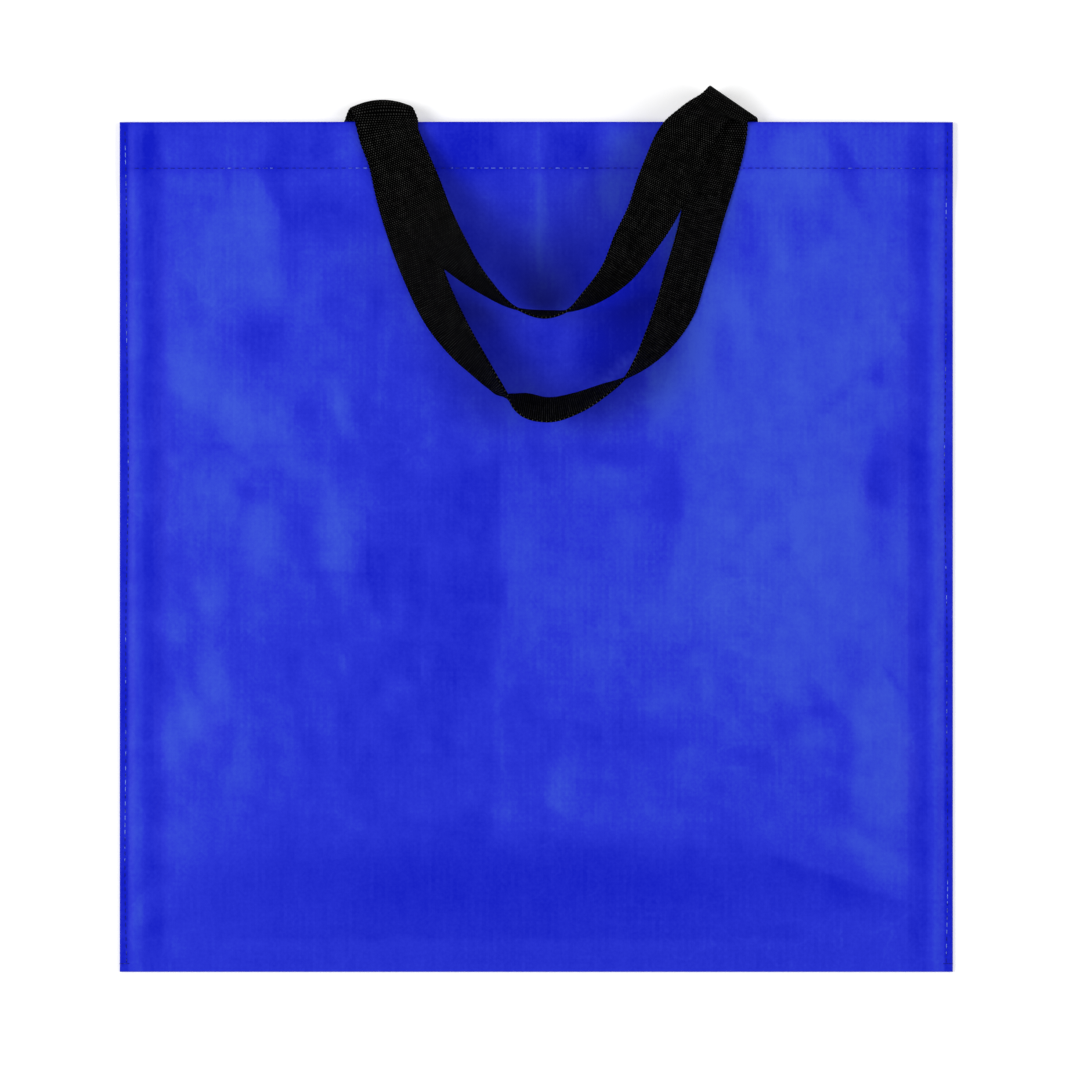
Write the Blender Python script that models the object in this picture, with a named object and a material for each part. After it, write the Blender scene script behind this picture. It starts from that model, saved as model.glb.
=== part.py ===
"""A large carrier bag of laminated woven sheet, lying closed on its back panel.

The bag is one sheet, folded at the bottom, with a hem turned in at each mouth edge and sewn sides.
Two webbing handles come out of the mouth, fold forward over it and lie looped on the front panel.
The frame has X across the bag, Y towards the mouth and Z up out of the front panel.
The origin is on the floor, under the middle of the bag.
"""
import math

import bpy
import numpy as np

MM = 0.001

# Bag sheet, in millimetres
BAG_WIDTH = 450.0
BAG_HEIGHT = 459.0
SHEET = 0.5             # thickness of the laminate
PLY_GAP = 0.3           # air between plies that touch
HEM_DEPTH = 27.0        # turned-in hem, a little past its stitch line
SEAM_WIDTH = 5.0        # sewn strip along each side
MOUTH_OPENING = 7.0     # clear height of the mouth in its middle
BELLY = 12.0            # how far the panels stand apart below the mouth
BOTTOM_RISE = 140.0     # length over which the front panel rises from the bottom fold
MOUTH_FALL = 130.0      # length over which it comes down again to the mouth
HEM_FADE = 25.0         # length below the hem over which its extra plies fade out

# Webbing handles, in millimetres
STRAP_WIDTH = 31.0
STRAP_THICKNESS = 1.5
STRAP_GAP = 0.3         # air between a strap and what it touches
SLACK = 0.15            # extra air where a flat strap lies on the crowned panel
HANDLE_SPACING = 190.0  # between the middles of a handle's two sewn ends
HANDLE_SHIFT = 5.0      # the pair of handles sits this far right of the bag's middle
SEWN_LENGTH = 26.0      # length of each strap end inside the mouth

# Facets
PANEL_COLUMNS = 26
PANEL_ROWS = 24
HEM_ROWS = 3
FOLD_STEPS = 4
STRAP_STEP = 4.5
STRAP_ROWS = 4
LEVEL_SLOPE = 0.001     # a run less steep than this counts as level

PLY_PITCH = SHEET + PLY_GAP
FOLD_RADIUS = PLY_PITCH / 2
MOUTH_Y = BAG_HEIGHT / 2

# The front handle's loop, from its left end to its right one, in front of the panel.
# Each row gives the middle of the webbing, across the bag and down from the mouth, in millimetres,
# the height of its lower edge over the panel, the plan direction from its lower edge to its upper one,
# and its lean, both in degrees: 0 lies flat, 90 stands on edge, and more leans out past upright.
FRONT_LOOP = [
    (-80.5, 6.0, 0.4, 12, 1),
    (-75.6, 19.5, 0.4, 17, 4),
    (-72.5, 35.4, 0.3, 16, 15),
    (-68.9, 54.1, 0.3, 18, 31),
    (-61.0, 81.5, 0.3, 20, 44),
    (-50.0, 105.6, 0.3, 30, 49),
    (-39.5, 121.3, 0.3, 45, 58),
    (-30.5, 132.3, 0.3, 50, 68),
    (-23.6, 140.6, 0.3, 50, 76),
    (-16.4, 148.6, 0.3, -30, 82),
    (-12.4, 150.6, 0.3, 88, 103),
    (-6.8, 152.8, 0.3, 80, 113),
    (6.2, 155.6, 0.3, 91, 115),
    (22.4, 151.7, 0.3, 106, 110),
    (35.7, 145.3, 0.3, 115, 102),
    (47.8, 138.4, 0.3, 126, 90),
    (55.7, 131.0, 0.3, 140, 77),
    (65.4, 118.4, 0.3, 148, 60),
    (75.3, 99.6, 0.3, 157, 46),
    (80.5, 82.6, 0.3, 162, 44),
    (85.3, 67.2, 0.3, 164, 43),
    (89.6, 50.4, 0.3, 166, 41),
    (94.2, 28.0, 0.3, 166, 24),
    (97.3, 12.0, 0.3, 173, 7),
    (98.4, 5.0, 0.4, 178, 1),
]

# The back handle's loop, which lies over the front one, in the same terms
BACK_LOOP = [
    (-78.4, 8.0, 2.8, 14, 3),
    (-73.5, 20.0, 3.2, 21, 6),
    (-67.2, 33.6, 5.0, 22, 15),
    (-56.8, 55.0, 12.5, 29, 32),
    (-46.6, 69.5, 22.5, 35, 49),
    (-37.6, 80.0, 24.0, 43, 63),
    (-27.3, 89.6, 18.0, 54, 75),
    (-11.1, 101.0, 10.0, 72, 90),
    (6.2, 104.3, 6.5, 91, 97),
    (17.0, 102.3, 7.5, 108, 90),
    (27.3, 96.2, 11.5, 130, 76),
    (43.2, 82.0, 19.0, 149, 57),
    (51.6, 68.0, 22.0, 151, 44),
    (61.5, 51.0, 24.0, 153, 33),
    (66.8, 38.5, 22.5, 155, 24),
    (73.0, 24.0, 15.5, 156, 18),
    (77.8, 13.4, 10.5, 158, 16),
    (83.0, 4.6, 7.5, 162, 20),
    (88.0, -1.5, 5.8, 165, 30),
    (93.4, -5.6, 4.6, 161, 34),
]

# Each handle's two folds over the mouth: how far right of the sewn end's middle the middle of the top line
# lies, the line's direction in plan and the direction in which the webbing comes up to it. The front ones
# wrap the hem's edge. The back ones stand clear of it: how far up, how deep the turn is, how much higher
# than flat the webbing leaves it, the lean with which it leaves and how far the line's middle bows out.
FRONT_LEFT_FOLD = {"right": 7.5, "azimuth": 0, "heading": 74}
FRONT_RIGHT_FOLD = {"right": -1.2, "azimuth": 180, "heading": 92}
BACK_LEFT_FOLD = {"right": 6.1, "azimuth": 1.5, "heading": 71,
                  "above": 7.3, "depth": 5.0, "raised": 0.0, "lean": 0, "bow": 4.0}
BACK_RIGHT_FOLD = {"right": 6.2, "azimuth": 146, "heading": 69,
                   "above": 10.3, "depth": 6.0, "raised": 7.6, "lean": 27, "bow": 0.0}
FOLD_TURNS = (-90, -60, -30, 0, 30, 60, 90)


def smooth(t):
    """A step from 0 to 1 that starts and ends level."""
    t = np.clip(t, 0.0, 1.0)
    return t * t * (3 - 2 * t)


def panel_spacing(x, y):
    """Distance between the middles of the two panels' sheet.

    It is one ply pitch at the seams and the bottom fold, three where the hems lie between the panels,
    and more in the middle, by a cubic crown across the bag and a rise and fall along it.
    """
    half = BAG_WIDTH / 2 - SEAM_WIDTH
    crown = 1 - np.clip(np.abs(x) / half, 0.0, 1.0) ** 3
    drop = MOUTH_Y - y
    rise = 1 - (1 - np.clip((y + BAG_HEIGHT / 2) / BOTTOM_RISE, 0.0, 1.0)) ** 2
    level = BELLY + (MOUTH_OPENING - PLY_GAP - BELLY) * smooth(1 - drop / MOUTH_FALL)
    hems = 2 * PLY_PITCH * smooth(1 - (drop - HEM_DEPTH) / HEM_FADE)
    return PLY_PITCH + hems + level * rise * crown


def front_top(x, y):
    """Height of the front panel's outer face."""
    return SHEET + panel_spacing(x, np.minimum(y, MOUTH_Y))


def graded(start, end, cells):
    """Positions from start to end, closer together towards both ends."""
    t = (1 - np.cos(np.linspace(0, math.pi, cells + 1))) / 2
    even = np.linspace(0, 1, cells + 1)
    return start + (end - start) * (0.6 * t + 0.4 * even)


def sheet_rows(x):
    """The sheet's path at each x, from the front hem's free edge round to the back hem's free edge."""
    fold_y = MOUTH_Y - SHEET / 2 - FOLD_RADIUS
    low_y = -BAG_HEIGHT / 2 + SHEET / 2 + FOLD_RADIUS
    turn = np.linspace(0, math.pi, FOLD_STEPS + 1)[1:-1]
    back = SHEET / 2
    rows = []
    hem_y = np.linspace(fold_y - HEM_DEPTH, fold_y, HEM_ROWS + 1)
    for y in hem_y:
        rows.append((y, back + panel_spacing(x, y) - PLY_PITCH))
    for a in turn:
        rows.append((fold_y + FOLD_RADIUS * math.sin(a), back + panel_spacing(x, fold_y) - PLY_PITCH
                     + FOLD_RADIUS * (1 - math.cos(a))))
    for y in graded(fold_y, low_y, PANEL_ROWS):
        rows.append((y, back + panel_spacing(x, y)))
    for a in turn:
        rows.append((low_y - FOLD_RADIUS * math.sin(a), back + FOLD_RADIUS * (1 + math.cos(a)) + 0 * x))
    for y in graded(low_y, fold_y, PANEL_ROWS):
        rows.append((y, back + 0 * x))
    for a in turn:
        rows.append((fold_y + FOLD_RADIUS * math.sin(a), back + FOLD_RADIUS * (1 - math.cos(a)) + 0 * x))
    for y in hem_y[::-1]:
        rows.append((y, back + PLY_PITCH + 0 * x))
    return rows


def make_material(name, color, roughness, metallic=0.0):
    """A plain finish for one sub-part."""
    material = bpy.data.materials.new(name)
    material.use_nodes = True
    shader = material.node_tree.nodes["Principled BSDF"]
    shader.inputs["Base Color"].default_value = (*color, 1.0)
    shader.inputs["Roughness"].default_value = roughness
    shader.inputs["Metallic"].default_value = metallic
    return material


def add_object(name, points, faces, material):
    """An object of a point list in millimetres and its faces."""
    mesh = bpy.data.meshes.new(name)
    mesh.from_pydata([tuple(p) for p in np.asarray(points) * MM], [], faces)
    mesh.materials.append(material)
    item = bpy.data.objects.new(name, mesh)
    bpy.context.scene.collection.objects.link(item)
    return item


def make_bag_body():
    """The folded sheet: its middle surface is a grid, which Solidify gives its thickness."""
    seam = BAG_WIDTH / 2 - SEAM_WIDTH
    x = np.concatenate(([-BAG_WIDTH / 2], graded(-seam, seam, PANEL_COLUMNS), [BAG_WIDTH / 2]))
    points = []
    for y, z in sheet_rows(x):
        points.append(np.stack((x, np.full_like(x, y), z), axis=1))
    columns = len(x)
    faces = []
    for row in range(len(points) - 1):
        for column in range(columns - 1):
            corner = row * columns + column
            faces.append((corner, corner + 1, corner + columns + 1, corner + columns))
    body = add_object("bag_body", np.concatenate(points), faces,
                      make_material("blue_laminate", (0.013, 0.026, 0.50), 0.35))
    solid = body.modifiers.new("sheet", "SOLIDIFY")
    solid.thickness = SHEET * MM
    solid.offset = 0.0
    solid.use_even_offset = True
    return body


def direction(azimuth, lean):
    """Unit vector from the webbing's lower edge to its upper one."""
    a = math.radians(azimuth)
    b = math.radians(lean)
    return (math.cos(b) * math.cos(a), math.cos(b) * math.sin(a), math.sin(b))


def leg_station(row):
    """A station of a strap that lies over the front panel, from a row of a loop.

    A station is the webbing's middle, the direction across it, how many widths a line across it is
    long, and how far its middle bows out.
    """
    x, drop, low, azimuth, lean = row
    a = math.radians(azimuth)
    b = math.radians(lean)
    reach = STRAP_WIDTH / 2 * math.cos(b)
    under = front_top(x - reach * math.cos(a), MOUTH_Y - drop - reach * math.sin(a))
    thick = STRAP_THICKNESS / 2 * abs(math.cos(b))
    z = under + low + thick + STRAP_WIDTH / 2 * math.sin(b)
    return (x, MOUTH_Y - drop, float(z), *direction(azimuth, lean), 1.0, 0.0)


def mouth_fold(x, fold, heights, leans):
    """Stations of a strap that comes up inside the mouth and folds forward over it.

    heights and leans are the webbing's inside the mouth and in front of it. The strap turns round half an
    ellipse about the fold's top line and moves along that line as its heading asks. A line that crosses
    the webbing at a slant is longer than the webbing is wide.
    """
    a = math.radians(fold["azimuth"])
    along = np.array((math.cos(a), math.sin(a)))
    away = np.array((-along[1], along[0])) * math.copysign(1, along[0])
    h = math.radians(fold["heading"])
    up = np.array((math.cos(h), math.sin(h)))
    middle = sum(heights) / 2
    half = (heights[1] - heights[0]) / 2
    slip = math.pi / 2 * (fold["depth"] + half) / 2 * up.dot(along) / up.dot(away)
    crease = np.array((x + fold["right"], MOUTH_Y + fold["above"]))
    stations = []
    for turn in np.radians(FOLD_TURNS):
        plan = crease + (math.cos(turn) - 1) * fold["depth"] * away + turn / (math.pi / 2) * slip * along
        lean = leans[0] + (leans[1] - leans[0]) * (1 + math.sin(turn)) / 2
        across = direction(fold["azimuth"], lean)
        stations.append((*plan, middle + half * math.sin(turn), *across,
                         1 / up.dot(away), fold["bow"] * math.cos(turn)))
    return stations


def sewn_end(x, z, azimuth, lean):
    """Stations of a strap end that lies flat on the inside of its hem."""
    across = direction(azimuth, lean)
    return [(x, MOUTH_Y - SEWN_LENGTH * share, z, *across, 1.0, 0.0) for share in (1.0, 0.5)]


def smooth_route(stations, step):
    """Points of a cubic Hermite curve through the stations, each span in pieces of about one step.

    A height, lean or length that stops rising or falling at a station is level there, so that no strap
    dips into a hem or narrows.
    """
    p = np.array(stations, float)
    length = np.linalg.norm(np.diff(p[:, :3], axis=0), axis=1)
    slope = np.diff(p, axis=0) / length[:, None]
    share = (length[:-1] / (length[:-1] + length[1:]))[:, None]
    inner = slope[:-1] * (1 - share) + slope[1:] * share
    steady = [2, 5, 6, 7]
    inner[:, steady] *= slope[:-1, steady] * slope[1:, steady] > LEVEL_SLOPE ** 2
    tangent = np.concatenate((slope[:1], inner, slope[-1:]))
    route = []
    for k, span in enumerate(length):
        count = max(1, math.ceil(span / step))
        t = np.arange(count)[:, None] / count
        route.append((2 * t**3 - 3 * t**2 + 1) * p[k] + (t**3 - 2 * t**2 + t) * span * tangent[k]
                     + (3 * t**2 - 2 * t**3) * p[k + 1] + (t**3 - t**2) * span * tangent[k + 1])
    route.append(p[-1:])
    return np.concatenate(route)


def strap_frames(stations, step):
    """Middle, half-width vector, normal and bow of the webbing at each point of its route."""
    route = smooth_route(stations, step)
    middle = route[:, :3]
    across = route[:, 3:6] / np.linalg.norm(route[:, 3:6], axis=1)[:, None]
    normal = np.cross(np.gradient(middle, axis=0), across)
    normal /= np.linalg.norm(normal, axis=1)[:, None]
    bow = route[:, 7:8] * np.cross((0.0, 0.0, 1.0), across)
    return middle, across * STRAP_WIDTH / 2 * route[:, 6:7], normal, bow


def make_strap(name, stations, material):
    """One length of webbing: a flat section carried along its route, closed at both ends."""
    across = np.linspace(-1, 1, STRAP_ROWS + 1)
    ring = [(s, 0.5) for s in across] + [(s, -0.5) for s in across[::-1]]
    count = len(ring)
    points = []
    for m, w, n, b in zip(*strap_frames(stations, STRAP_STEP)):
        points.extend(m + s * w + (1 - s * s) * b + side * STRAP_THICKNESS * n for s, side in ring)
    faces = []
    rings = len(points) // count
    for k in range(rings - 1):
        for j in range(count):
            faces.append((k * count + j, (k + 1) * count + j,
                          (k + 1) * count + (j + 1) % count, k * count + (j + 1) % count))
    faces.append(tuple(range(count)))
    faces.append(tuple(range(rings * count - 1, (rings - 1) * count - 1, -1)))
    return add_object(name, points, faces, material)


def handle_sides(x, azimuth, front_fold, back_fold):
    """Stations of both handles where they leave the mouth at x, from their sewn ends to the front."""
    hem = SHEET + PLY_PITCH
    half = STRAP_THICKNESS / 2 + STRAP_GAP
    wrap = hem / 2 + half
    round_hem = {"above": wrap - SHEET / 2 - FOLD_RADIUS, "depth": wrap, "bow": 0.0}
    top = float(front_top(x, MOUTH_Y))
    slope = float(front_top(abs(x) - 1, MOUTH_Y) - front_top(abs(x) + 1, MOUTH_Y)) / 2
    lean = math.degrees(math.atan(slope))
    front_in = top - hem - half - SLACK
    front_out = top + half + SLACK
    back_in = hem + half
    back_out = front_out + STRAP_THICKNESS + STRAP_GAP + SLACK + back_fold["raised"]
    front = sewn_end(x, front_in, azimuth, lean)
    front += mouth_fold(x, {**front_fold, **round_hem}, (front_in, front_out), (lean, lean))
    back = sewn_end(x, back_in, azimuth, 0)
    back += mouth_fold(x, back_fold, (back_in, back_out), (0, back_fold["lean"]))
    return front, back


def make_handles():
    """Both handles. The back one comes out behind the front one and lies over it."""
    left_x = HANDLE_SHIFT - HANDLE_SPACING / 2
    right_x = HANDLE_SHIFT + HANDLE_SPACING / 2
    front_left, back_left = handle_sides(left_x, 0, FRONT_LEFT_FOLD, BACK_LEFT_FOLD)
    front_right, back_right = handle_sides(right_x, 180, FRONT_RIGHT_FOLD, BACK_RIGHT_FOLD)
    front_loop = [leg_station(row) for row in FRONT_LOOP]
    back_loop = [leg_station(row) for row in BACK_LOOP]
    webbing = make_material("black_webbing", (0.012, 0.012, 0.013), 0.8)
    make_strap("handle_front", front_left + front_loop + front_right[::-1], webbing)
    make_strap("handle_back", back_left + back_loop + back_right[::-1], webbing)


def main():
    for item in list(bpy.data.objects):
        bpy.data.objects.remove(item, do_unlink=True)
    make_bag_body()
    make_handles()


main()
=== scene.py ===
"""Looks of a large blue carrier bag of laminated woven sheet, lying closed on its back panel.

The bag is one folded sheet with turned hems, sewn along both sides. Two webbing handles come out of
the mouth and lie looped on the front. Lengths are in millimetres until a mesh is made.
"""
import math

import bpy
import numpy as np
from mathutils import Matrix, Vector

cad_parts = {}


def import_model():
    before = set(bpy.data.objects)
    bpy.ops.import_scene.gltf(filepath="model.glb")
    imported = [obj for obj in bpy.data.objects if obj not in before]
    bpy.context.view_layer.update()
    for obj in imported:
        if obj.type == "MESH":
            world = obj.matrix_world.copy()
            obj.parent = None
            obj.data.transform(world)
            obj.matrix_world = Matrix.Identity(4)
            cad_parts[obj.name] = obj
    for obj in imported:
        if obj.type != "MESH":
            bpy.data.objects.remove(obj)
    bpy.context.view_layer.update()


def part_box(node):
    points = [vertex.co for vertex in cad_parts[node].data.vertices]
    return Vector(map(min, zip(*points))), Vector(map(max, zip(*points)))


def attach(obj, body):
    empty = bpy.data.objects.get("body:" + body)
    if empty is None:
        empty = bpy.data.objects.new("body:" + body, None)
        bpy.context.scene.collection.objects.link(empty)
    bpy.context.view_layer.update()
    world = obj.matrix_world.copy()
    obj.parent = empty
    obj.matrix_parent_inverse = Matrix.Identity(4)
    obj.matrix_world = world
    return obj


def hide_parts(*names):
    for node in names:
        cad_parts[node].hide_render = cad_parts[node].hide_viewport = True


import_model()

MM = 0.001

# The bag: its size comes from the frame, and the rest follows the real construction
low_corner, high_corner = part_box("bag_body")
WIDTH = round((high_corner.x - low_corner.x) / MM)
HEIGHT = round((high_corner.y - low_corner.y) / MM)
MOUTH = HEIGHT / 2
SHEET = 0.5
PLY_GAP = 0.3
PLY_PITCH = SHEET + PLY_GAP
FOLD_RADIUS = PLY_PITCH / 2
HEM_DEPTH = 27.0
HEM_LINE = 25.0         # the hem's stitch line, below the mouth
SEAM_WIDTH = 5.0
SEAM_LINE = 3.6         # the side seam's stitch line, in from the edge
MOUTH_OPENING = 7.0
BELLY = 12.0            # how far the panels stand apart in the middle
BOTTOM_RISE = 140.0     # how far above the bottom they do
MOUTH_FALL = 130.0      # how far below the mouth they do
HEM_FADE = 25.0         # how far below the hems the panels give way to them

# Webbing handles
STRAP_WIDTH = 31.0
STRAP_THICKNESS = 1.5
STRAP_GAP = 0.3
SLACK = 0.15
HANDLE_SPACING = 190.0
HANDLE_SHIFT = 5.0      # how far they sit to the right of the bag's middle
LEFT_HANDLE = HANDLE_SHIFT - HANDLE_SPACING / 2
RIGHT_HANDLE = HANDLE_SHIFT + HANDLE_SPACING / 2
SEWN_LENGTH = 26.0
LOOP_PITCH = 2.2        # the little turns of the weft at the webbing's edges
LOOP_DEPTH = 0.16
LOOP_POWER = 12         # the higher, the nearer they keep to the edge
EDGE_ROUND = 0.05       # the rounded part of the webbing's half-width, as a share of it
EDGE_BEAD = (0.93, 0.03, 0.05)      # place and half-width in the same share, height in thicknesses
THINNER = 0.03          # how much less than half the thickness the flat part has, in thicknesses
FLAT_PLACES = (-0.9, 0.9, 15)       # from, to and number of the section's points on the flat part
ROUND_PLACES = 5
STEADY_COLUMNS = [2, 5, 6, 7]       # a station's height, lean, length and bow
STILL = 1e-6

# Thread and weave
STITCH_PITCH = 3.85
STITCH_LENGTH = 2.7
THREAD_RADIUS = 0.21
THREAD_REST = 0.55      # how high a stitch rides and how deep its ends dive, in thread radii
THREAD_SINK = 1.1
THREAD_TAPER = 0.4
STITCH_RINGS = (-1.0, -0.8, -0.35, 0.35, 0.8, 1.0)
STITCH_SIDES = 6
UNDER_THREAD = 0.18     # height of the threads' middles under the back panel
HEM_END = 2.0           # how far short of the seams the hem's stitches stop
SEAM_END = 3.0          # how far short of the mouth and the bottom the seams' stitches stop
TACK_IN, TACK_PITCH, TACK_UP, TACKS = 1.2, 1.5, 4.5, 3      # stitches across each seam's lower end
SEAM_WANDER = ((0.7, 61.0, 0.6), (0.3, 23.0, 0.0))          # size, length and start of each sine
WARP_PITCH = 1.95       # woven tapes that run up the bag
WEFT_PITCH = 2.32       # woven tapes that run across it
PICK_PITCH = 1.12       # the webbing's ribs, along it
YARN_PITCH = 1.35       # the webbing's yarns, across it

# Mesh spacing, and how far from seams, folds and the stitch line the mesh is fine
FINE = 1.2
COARSE = 3.3
LINE_STEP = 1.0
BOTTOM_STEP = 1.6
STRAP_STEP = 0.65
FOLD_STEPS = 7
SEAM_MESH = 14.0
TURN_MESH = 3.0
LINE_MESH = (5.0, 6.0)
BOTTOM_MESH = 8.0

# Waves of the panel and of its painted sheen: seed, number, shortest and longest, and slope or strength
LONG_WAVES = (11, 26, (38, 120), 0.035)
SHORT_WAVES = (23, 34, (16, 40), 0.022)
DRIFT_WAVES = (47, 18, (14, 50), 0.13)
PUSH_WAVES = (53, 18, (14, 50), 0.13)
BROAD_RIPPLE = (5, 30, (14, 70), 0.006)
FINE_RIPPLE = (31, 30, (6, 16), 0.014)
TALL_RIPPLE = (61, 30, (7, 26), 0.013)
TALL_SHARE = 0.4        # how much closer the tall ripple's places lie along the bag
WAVE_BEND = 0.25

# The panel's relief. A band is its place, half-width and height, and an end is its place and length
SEAM_FADE, BOTTOM_FADE, MOUTH_FADE = 18.0, 25.0, 30.0       # where waves and creases fade out
HEM_SHARE = 0.35        # how much of them is left at the mouth
HANDLE_REACH = 57.5     # the place under the handles: half-width, lower end, and how high it may rise
HANDLE_END = (190.0, 30.0)
HANDLE_PRESS = 3
HANDLE_ROOM = 0.12
CREASE_FADE = 1.5       # in half-widths of the crease
SEAM_RIDGE = (9.0, 3.0, 0.55)
SEAM_VALLEY = (19.0, 6.0, -0.45)
SEAM_EDGE = (SEAM_WIDTH - 0.5, 2.0)
RIDGE_FOOT, RIDGE_HEAD, RIDGE_AT_MOUTH = 12.0, 20.0, 0.3
SEWN_DIP = (HEM_LINE, 1.3, -0.10)
PUCKER = (HEM_LINE + 2, 5.0, 0.07)
PUCKER_PITCH = 3 * STITCH_PITCH
HEM_STEP = (HEM_DEPTH + 1.6, 3.0)
HEM_STEP_HEIGHT = 0.04

# The film's painted sheen and painted shade, from 0 dark to 1 light
SHEEN_LEVEL = 0.49
EDGE_DRIFT = 0.6        # how much of the patches' drift the crisp edges take
EDGE_CRISP = 1.2
EDGE_FADE = 5.0
LOW_RIPPLE = 0.3        # how much of the ripples is left in the smooth lower part, and where it starts
RIPPLE_END = (405.0, 30.0)
VALLEY_SHADE = (18.5, 6.0, -0.30, 4)
VALLEY_HEAD, VALLEY_FOOT, VALLEY_SHARE = 12.0, 30.0, 0.35
RIDGE_SHEEN = (9.0, 2.8, 0.11)
RIDGE_LOSS = (0.0, 60.0, 0.4)
SEAM_SHADE, SEAM_STRIP = -0.34, (SEAM_LINE + 1.6, 1.2)
HEM_SHADE, HEM_STRIP = -0.14, (32.0, 8.0)
LINE_SHADE = (HEM_LINE, 0.9, -0.16)
MOUTH_SHADE = (0.0, 1.2, -0.30)
BACK_LEVEL = 0.45       # sheen of the back panel, and its share of the front's variation
BACK_SHARE = 0.3

# Film and tapes. A grain is its scale per metre, its detail and its strength, and a pair of
# strengths is for the tapes that run up the bag and those that run across it
# Each set of three colours runs from painted shade by the middle blue to painted sheen, as the painted
# tone picks
FILM_COLOURS = ((0.0040, 0.0100, 0.53, 1), (0.021, 0.0340, 0.645, 1), (0.042, 0.088, 0.665, 1))
INSIDE_COLOURS = ((0.006, 0.012, 0.36, 1), (0.012, 0.024, 0.46, 1), (0.022, 0.045, 0.55, 1))
FILM_ROUGH, INSIDE_ROUGH = 0.36, 0.62
FILM_WEAVE, INSIDE_WEAVE = 0.4, 1.1
FILM_GRAIN = (640.0, 3.0, 0.34)
FILM_ROUGH_GRAIN = (40.0, 2.0, 0.12)
TAPE_TONES = (0.24, 0.11)
TAPE_ROUGH = 0.10
TAPE_STRIDE = 7.31      # how far apart neighbouring tapes are in the noise
TAPE_RUN = 17.0         # length over which a tape changes
STRIPES = (0.03, 0.015)
CHECKS = 0.03
GAPS = (0.07, 0.03)
GAP_WIDTH = 0.16
SHOWN = (26.0, 2.0, 1.8)            # where the weave shows through the film, and how much on the whole
SHOWN_LEVEL = 0.5
# Painted highlights along fine creases of the film: where they show, their lines, and their strength
CREASE_GLINT_AREAS = (12.0, 1.0, 4.0)             # where the film is creased, and how much on the whole
CREASE_GLINT_LEVEL = 0.3
CREASE_LINES = (42.0, 2.0, 32.0)
CREASE_HIGHLIGHT = 0.09
TAPE_SEAMS = (0.5, 0.35)
CRINKLE = (70.0, 3.0, 9.0)
BUCKLE = (24.0, 2.0, 16.0)
FILM_BUMP, FILM_GLOSS = 0.03, 0.05

# Webbing
WEBBING_COLOURS = ((0.0004, 0.0004, 0.0004, 1), (0.056, 0.056, 0.053, 1))
WEBBING_GRAIN = (900.0, 3.0, 0.5)
WEBBING_ROUGH = 0.65
WEBBING_ROUGH_GRAIN = (500.0, 2.0, 0.2)
WEBBING_FUZZ = (1400.0, 2.0, 0.3)
YARN_TONE, PICK_TONE = 0.9, 1.1
# Painted highlight on the webbing yarns' crowns: the weave height where it starts, and its strength
CROWN_HIGHLIGHT_LEVEL, CROWN_HIGHLIGHT = 0.64, 2.6
WEBBING_BUMP, WEBBING_GLOSS = 0.28, 0.004

# Thread: the second colour is a painted glint
THREAD_COLOURS = ((0.004, 0.008, 0.26, 1), (0.20, 0.30, 0.85, 1))
STITCH_GLINT = (210.0, 2.0, 9.0)
RUN_GLINT = (18.0, 2.0, 9.0)
GLINT_LEVEL = -0.63
MIDDLE_GLINT, MIDDLE_REACH = 1.26, 85.0     # more glints near the bag's middle line, and how far from it
THREAD_ROUGH = 0.45
THREAD_ROUGH_GRAIN = (400.0, 2.0, 0.2)
TWIST = 9.0
THREAD_BUMP, THREAD_GLOSS = 0.05, 0.15

# Floor, light and camera, in metres
FLOOR_REACH = 6.0
FLOOR_LEVEL = -0.0004
FLOOR_COLOUR = (0.80, 0.80, 0.80, 1)
FLOOR_GLOW = 0.34
WHITE = (1, 1, 1, 1)
WORLD_LIGHT = 0.4       # what the world gives to matt surfaces, of the 1 that the camera sees
LAMPS = (("key", (-2.7, 0.3, 2.9), 89.0, 2.0), ("fill", (2.65, 0.2, 2.75), 54.0, 2.0))
PICTURE_WIDTH = 582.6 * MM
PICTURE_MIDDLE = (2.0 * MM, 3.8 * MM)
LENS, SENSOR = 500.0, 36.0          # millimetres, as a camera names them
VIEW_END = 100.0

# Each row gives the middle of the webbing, across the bag and down from the mouth, in millimetres,
# the height of its lower edge over the panel, the plan direction from its lower edge to its upper one,
# and its lean, both in degrees: 0 lies flat, 90 stands on edge, and more leans out past upright.
FRONT_LOOP = [
    (-80.5, 6.0, 0.4, 12, 1),
    (-75.6, 19.5, 0.4, 17, 4),
    (-72.5, 35.4, 0.3, 16, 15),
    (-68.9, 54.1, 0.3, 18, 31),
    (-61.0, 81.5, 0.3, 20, 44),
    (-50.0, 105.6, 0.3, 30, 49),
    (-39.5, 121.3, 0.3, 45, 58),
    (-30.5, 132.3, 0.3, 50, 68),
    (-23.6, 140.6, 0.3, 50, 76),
    (-16.4, 148.6, 0.3, -30, 82),
    (-12.4, 150.6, 0.3, 88, 103),
    (-6.8, 152.8, 0.3, 80, 113),
    (6.2, 155.6, 0.3, 91, 115),
    (22.4, 151.7, 0.3, 106, 110),
    (35.7, 145.3, 0.3, 115, 102),
    (47.8, 138.4, 0.3, 126, 90),
    (55.7, 131.0, 0.3, 140, 77),
    (65.4, 118.4, 0.3, 148, 60),
    (75.3, 99.6, 0.3, 157, 46),
    (80.5, 82.6, 0.3, 162, 44),
    (85.3, 67.2, 0.3, 164, 43),
    (89.6, 50.4, 0.3, 166, 41),
    (94.2, 28.0, 0.3, 166, 24),
    (97.3, 12.0, 0.3, 173, 7),
    (98.4, 5.0, 0.4, 178, 1),
]
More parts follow.
